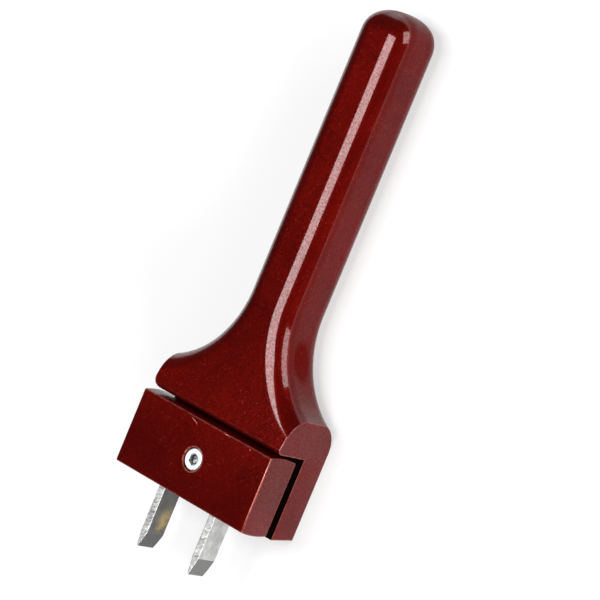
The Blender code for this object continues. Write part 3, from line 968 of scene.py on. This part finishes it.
def wine_paint(name, worn, gap_shade_height, gap_shade_side, marks=()):
    """The flake paint, with its edges made paler by an amount and any marks that one piece has.

    The paler edges are partly wear and partly painted highlight on the small rounds. The face it
    clamps with is at gap_shade_height and faces up (gap_shade_side is 1) or down (-1); it is
    painted near black without coat, as painted shade in the gap.
    """
    made, t, shader, place = new_finish(name, Metallic=0.40, Coat_Roughness=0.08,
                                        Coat_IOR=1.5, Specular_IOR_Level=0.0)
    flake = t.use(metal_flake, place, Cells=3000.0, Tilt=0.14, Glints=0.008)
    cloud = t.use(stain, place, Scale=45.0, Low=0.3, High=0.7)
    # Edges made paler by the amount worn: partly wear, partly painted highlight on the small
    # rounds.
    wear = t.use(edge_wear, place, Radius=0.7 * MM, Amount=worn)
    fine = t.use(dust, place, Cells=330.0, Share=0.10, Size=0.07)
    shade = t.plus(t.times(flake["Shade"], 0.55), t.times(cloud["Mask"], 0.35))
    colour = t.mix(shade, WINE_DEEP, WINE_LIGHT)
    colour = t.mix(t.times(flake["Glint"], 0.3), colour, FLAKE_BRIGHT)
    colour = t.mix(t.times(fine["Mask"], 0.22), colour, SPECK_PALE)
    colour = t.mix(wear["Mask"], colour, WINE_WEAR_AND_EDGE_HIGHLIGHT)
    # The marks: scratches and a chip, and on the block a painted highlight line down its right
    # front edge.
    for mark in marks:
        colour = t.mix(mark_mask(t, place, *mark), colour, WINE_WEAR_AND_EDGE_HIGHLIGHT)
    facing = t.split(t.add("TexCoord").outputs["Normal"])
    # Painted shade: the face that meets the other part across the gap is painted near black and,
    # below, gets no coat.
    gap_shade = clamped_face(t, place, facing, gap_shade_height, gap_shade_side)
    t.feed(t.mix(gap_shade, colour, GAP_PAINTED_SHADE), shader["Base Color"])
    t.feed(flake["Normal"], shader["Normal"])
    t.feed(t.plus(t.times(cloud["Mask"], LESS_SMOOTH), SMOOTHEST), shader["Roughness"])
    relief = t.use(stain, place, Scale=1500.0, Low=0.38, High=0.58)
    coat = t.plus(t.times(relief["Mask"], COAT_RELIEF), COAT_THIN, True)
    coat = t.times(coat, gloss_left(t, place, facing))
    t.feed(t.times(coat, t.one_minus(gap_shade)), shader["Coat Weight"])
    return made


# Each mark's centre, length and width in millimetres, and its turn in degrees. The first
# four are scratches and a chip; the last is a painted highlight down the block's right front edge.
BLOCK_MARKS_AND_EDGE_HIGHLIGHT = [(-6.2, -58.4, 4.2, 0.30, -17), (-5.0, -58.9, 2.2, 0.22, -30),
               (11.0, -57.2, 3.6, 0.34, 3), (23.7, -57.9, 0.7, 0.55, 0),
               (34.45, SCREW_Y / MM, 29.5, 0.5, 90)]
grip_paint = wine_paint("wine_flake_paint", 0.4, JAW_DEPTH, 1)
block_paint = wine_paint("wine_flake_paint_marked_highlit", 0.95, BLOCK_BACK, -1, BLOCK_MARKS_AND_EDGE_HIGHLIGHT)
print("paint:", len(block_paint.node_tree.nodes), "nodes, with", len(BLOCK_MARKS_AND_EDGE_HIGHLIGHT), "marks")

# %% [markdown]
# ## Bright zinc
# Zinc plate is a little milky: half of it mirrors and half of it scatters, which is why the
# head is the whitest thing on the tool. Turning has left rings on its face. The socket is
# painted darker with depth below the face, as painted shade, and the face is darker in
# blotches round the socket's mouth.

# %% Bright zinc
def bright_zinc():
    """Milky plated steel, with turning rings, painted shade down in the socket and a darker rim
    round it.

    The rings are a sine of the distance from the axis.
    """
    made, t, shader, place = new_finish("bright_zinc", Metallic=0.45, Roughness=0.4)
    local = t.mapped(place, (0, SCREW_Y, screw_high.z))
    x, y, z = t.split(local)
    radius = t.math("SQRT", t.plus(t.times(x, x), t.times(y, y)))
    rings = t.math("SINE", t.times(radius, 2 * math.pi / (0.22 * MM)))
    blotch = t.use(stain, place, Scale=1300.0, Low=0.42, High=0.58)
    within = t.one_minus(t.ramp(radius, 2.2 * MM, 2.9 * MM))
    # Darker in blotches round the socket's mouth.
    darker_rim = t.times(within, t.plus(blotch["Mask"], 0.25), True)
    # Painted shade: the socket darkens with depth below the face.
    socket_shade = t.times(t.math("LESS_THAN", radius, 2.45 * MM),
                    t.ramp(t.times(z, -1.0), 0.05 * MM, 0.4 * MM))
    socket_shade_depth = t.math("SUBTRACT", 0.98, t.times(blotch["Mask"], 0.45))
    # The darker rim and the painted shade in the socket, whichever is stronger.
    socket_shade_and_rim = t.math("MAXIMUM", t.times(darker_rim, 0.5), t.times(socket_shade, socket_shade_depth))
    cloud = t.use(stain, place, Scale=700.0, Low=0.35, High=0.7)
    plate = t.mix(cloud["Mask"], (0.97, 0.98, 0.99), (0.84, 0.86, 0.88))
    t.feed(t.mix(socket_shade_and_rim, plate, (0.035, 0.042, 0.048)), shader["Base Color"])
    t.feed(t.plus(t.times(socket_shade_and_rim, 0.3), 0.38), shader["Roughness"])
    t.bump(rings, 0.25, 0.02 * MM, shader["Normal"])
    return made


zinc = bright_zinc()
print("zinc:", len(zinc.node_tree.nodes), "nodes")

# %% [markdown]
# ## Electrode steel
# A flat steel bar has three faces that look nothing alike. The broad sides are rolled smooth
# and grey, with fine lines along the bar. The narrow edges were sheared, so they are bright
# and torn into short slanting marks. The chisel bevels are ground across and stay matte. The
# object's own axes say which face a point is on, and heat has tinted one bar straw yellow.
# That bar's sides and bevels are also given darker greys than the other's, as painted shade.

# %% Electrode steel
def electrode_steel(name, node, bevel, side_colour, ground_colour, tint):
    """Rolled sides, sheared edges and a ground chisel; tint is how much straw colour. The side and
    ground colours set how light or dark the bar is painted, as painted light and shade.
    """
    low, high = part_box(node)
    made, t, shader, place = new_finish(name, Metallic=0.72, Roughness=0.42)
    local = t.mapped(place, (0, low.y, 0))
    along_bar, height_up = t.split(local)[1:3]
    facing = t.split(t.add("TexCoord").outputs["Normal"])
    sheared = t.ramp(t.math("ABSOLUTE", facing[2]), 0.55, 0.8)
    past_bevel = t.ramp(along_bar, bevel, bevel + 0.1 * MM)
    ground = t.times(t.one_minus(past_bevel), t.one_minus(sheared))
    rolled = t.use(drawn_grain, place, Scale=(2600, 300, 2600), Contrast=1.6)
    torn_place = t.mapped(place, (0, 0, 0), (0, 0, math.radians(28)))
    torn = t.use(drawn_grain, torn_place, Scale=(420, 1500, 420), Contrast=2.6)
    stone = t.use(drawn_grain, place, Scale=(900, 5200, 500), Contrast=1.5)
    cloud = t.use(stain, place, Scale=190.0, Low=0.35, High=0.65)
    side = t.mix(cloud["Mask"], side_colour, tuple(0.62 * c for c in side_colour))
    lines = tuple(c + 0.14 for c in side_colour)
    side = t.mix(t.times(rolled["Shade"], 0.28), side, lines)
    pits = t.use(dust, place, Cells=900.0, Share=0.3, Size=0.2)
    side = t.mix(t.times(pits["Mask"], 0.35), side, (0.12, 0.11, 0.10))
    cool_end = t.one_minus(t.ramp(along_bar, bevel + 5 * MM, bevel + 13 * MM))
    straw_zone = t.times(t.ramp(along_bar, bevel + 0.3 * MM, bevel + 2.5 * MM), cool_end)
    rear = t.one_minus(t.ramp(height_up, (low.z + high.z) / 2 - 1.5 * MM, high.z - 2 * MM))
    straw_zone = t.times(straw_zone, rear)
    straw_cloud = t.use(stain, place, Scale=150.0, Low=0.38, High=0.62)
    straw = t.times(t.times(straw_zone, straw_cloud["Mask"]), tint)
    side = t.mix(straw, side, (0.46, 0.33, 0.10))
    dull = tuple(0.4 * c for c in ground_colour)
    bevel_colour = t.mix(stone["Shade"], dull, ground_colour)
    edge_colour = t.mix(torn["Shade"], (0.22, 0.22, 0.22), (0.86, 0.86, 0.85))
    colour = t.mix(sheared, t.mix(ground, side, bevel_colour), edge_colour)
    wear = t.use(edge_wear, place, Radius=0.22 * MM, Amount=0.9)
    t.feed(t.mix(wear["Mask"], colour, (0.95, 0.95, 0.95)), shader["Base Color"])
    fine = t.plus(t.times(stone["Height"], ground), t.times(rolled["Height"], 0.25))
    height = t.plus(t.times(torn["Height"], t.times(sheared, 3.0)), fine)
    t.bump(height, 0.6, 0.06 * MM, shader["Normal"])
    t.feed(t.plus(t.times(cloud["Mask"], 0.12), 0.36), shader["Roughness"])
    return made


# The left bar gets darker greys than the right one, as painted shade; its straw tint is its own
# colour.
left_steel = electrode_steel("electrode_steel_tinted_shaded", "electrode_left", LEFT_BEVEL,
                             (0.105, 0.102, 0.095), (0.11, 0.11, 0.11), 0.75)
right_steel = electrode_steel("electrode_steel_lit", "electrode_right", RIGHT_BEVEL,
                              (0.46, 0.47, 0.46), (0.20, 0.20, 0.195), 0.06)
print("electrode steel:", len(left_steel.node_tree.nodes), "nodes")

# %% [markdown]
# ## Turned steel, spring steel and laminate
# The hidden pieces are seen through the gap and when the clamp opens. The turned ones have
# fine rings along their length, the spring wire has a dark oil film that is rubbed bright on
# its outside, and the pressed laminate shows its paper layers as thin lines.

# %% Turned steel, spring steel and laminate
def turned_steel():
    """Rings round the axis, a light oil film and bright edges."""
    made, t, shader, place = new_finish("turned_steel", Metallic=1.0, Roughness=0.3)
    rings = t.use(drawn_grain, place, Scale=(160, 160, 7500), Contrast=1.8)
    film = t.use(stain, place, Scale=320.0, Low=0.35, High=0.7)
    wear = t.use(edge_wear, place, Radius=0.3 * MM, Amount=0.8)
    colour = t.mix(rings["Shade"], (0.30, 0.30, 0.31), (0.56, 0.56, 0.57))
    colour = t.mix(t.times(film["Mask"], 0.4), colour, (0.25, 0.22, 0.18))
    t.feed(t.mix(wear["Mask"], colour, (0.8, 0.8, 0.8)), shader["Base Color"])
    t.feed(t.plus(t.times(film["Mask"], 0.2), 0.24), shader["Roughness"])
    t.bump(rings["Height"], 0.35, 0.02 * MM, shader["Normal"])
    return made


def spring_steel():
    """Dark oil-tempered wire with drawing lines and rubbed spots."""
    made, t, shader, place = new_finish("spring_steel", Metallic=0.9, Roughness=0.35)
    drawn = t.use(drawn_grain, place, Scale=(900, 900, 4200), Contrast=1.5)
    rubbed = t.use(stain, place, Scale=260.0, Low=0.5, High=0.62)
    colour = t.mix(drawn["Shade"], (0.05, 0.05, 0.055), (0.16, 0.15, 0.15))
    colour = t.mix(t.times(rubbed["Mask"], 0.7), colour, (0.42, 0.42, 0.42))
    t.feed(colour, shader["Base Color"])
    t.bump(drawn["Height"], 0.3, 0.02 * MM, shader["Normal"])
    return made


def pressed_laminate():
    """Dark resin with the edges of paper layers as thin lines in the strip's thickness."""
    made, t, shader, place = new_finish("pressed_laminate", Roughness=0.5)
    layer = t.math("SINE", t.times(t.split(place)[2], 2 * math.pi / (0.25 * MM)))
    fibres = t.use(drawn_grain, place, Scale=(700, 2600, 2600), Contrast=2.0)
    colour = t.mix(fibres["Shade"], (0.012, 0.010, 0.009), (0.040, 0.032, 0.026))
    colour = t.mix(t.ramp(layer, 0.3, 1.0), colour, (0.060, 0.045, 0.032))
    specks = t.use(dust, place, Cells=420.0, Share=0.35, Size=0.1)
    colour = t.mix(t.times(specks["Mask"], 0.5), colour, (0.30, 0.29, 0.27))
    t.feed(colour, shader["Base Color"])
    t.feed(t.plus(t.times(fibres["Shade"], 0.2), 0.4), shader["Roughness"])
    t.bump(fibres["Height"], 0.4, 0.03 * MM, shader["Normal"])
    return made


turned, spring_wire, laminate = turned_steel(), spring_steel(), pressed_laminate()
print("hidden finishes:", [m.name for m in (turned, spring_wire, laminate)])

# %% [markdown]
# ## Put together
# Every new piece takes the place of its CAD node: it rides on the same body, so it moves with
# the right joint, and takes a finish of its own. Parenting by hand would move it too, but
# would not say which CAD node to hide. The washer, the insert and the pins are plain turned
# shapes that the CAD already has right, so they only change finish.

# %% Assembly
def dress(piece, finish):
    """Give a piece one finish and no other."""
    piece.data.materials.clear()
    piece.data.materials.append(finish)


def fit(piece, body, node, finish):
    """A made piece stands for its CAD node, rides on that node's body and takes its finish."""
    dress(piece, finish)
    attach(piece, body)
    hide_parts(node)


fit(casting, "handle", "handle_casting", grip_paint)
fit(block, "clamp", "clamp_block", block_paint)
fit(screw, "screw", "clamp_screw", zinc)
for bar, side, steel in zip(electrodes, ("left", "right"), (left_steel, right_steel)):
    fit(bar, side + "_electrode", "electrode_" + side, steel)
for node in ("thread_insert", "guide_pin_left", "guide_pin_right", "screw_washer"):
    dress(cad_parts[node], turned)
print("in place:", [o.name for o in (casting, block, screw, *electrodes)])

# %% [markdown]
# The spring stands on the casting and pushes on the block. It takes its finish and stands for
# its CAD node, but rides on neither body. The backing strip takes the laminate finish.

# %% The spring and the backing strip
dress(spring, spring_wire)
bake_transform(spring)
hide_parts("opening_spring")
dress(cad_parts["backing_strip"], laminate)

# %% [markdown]
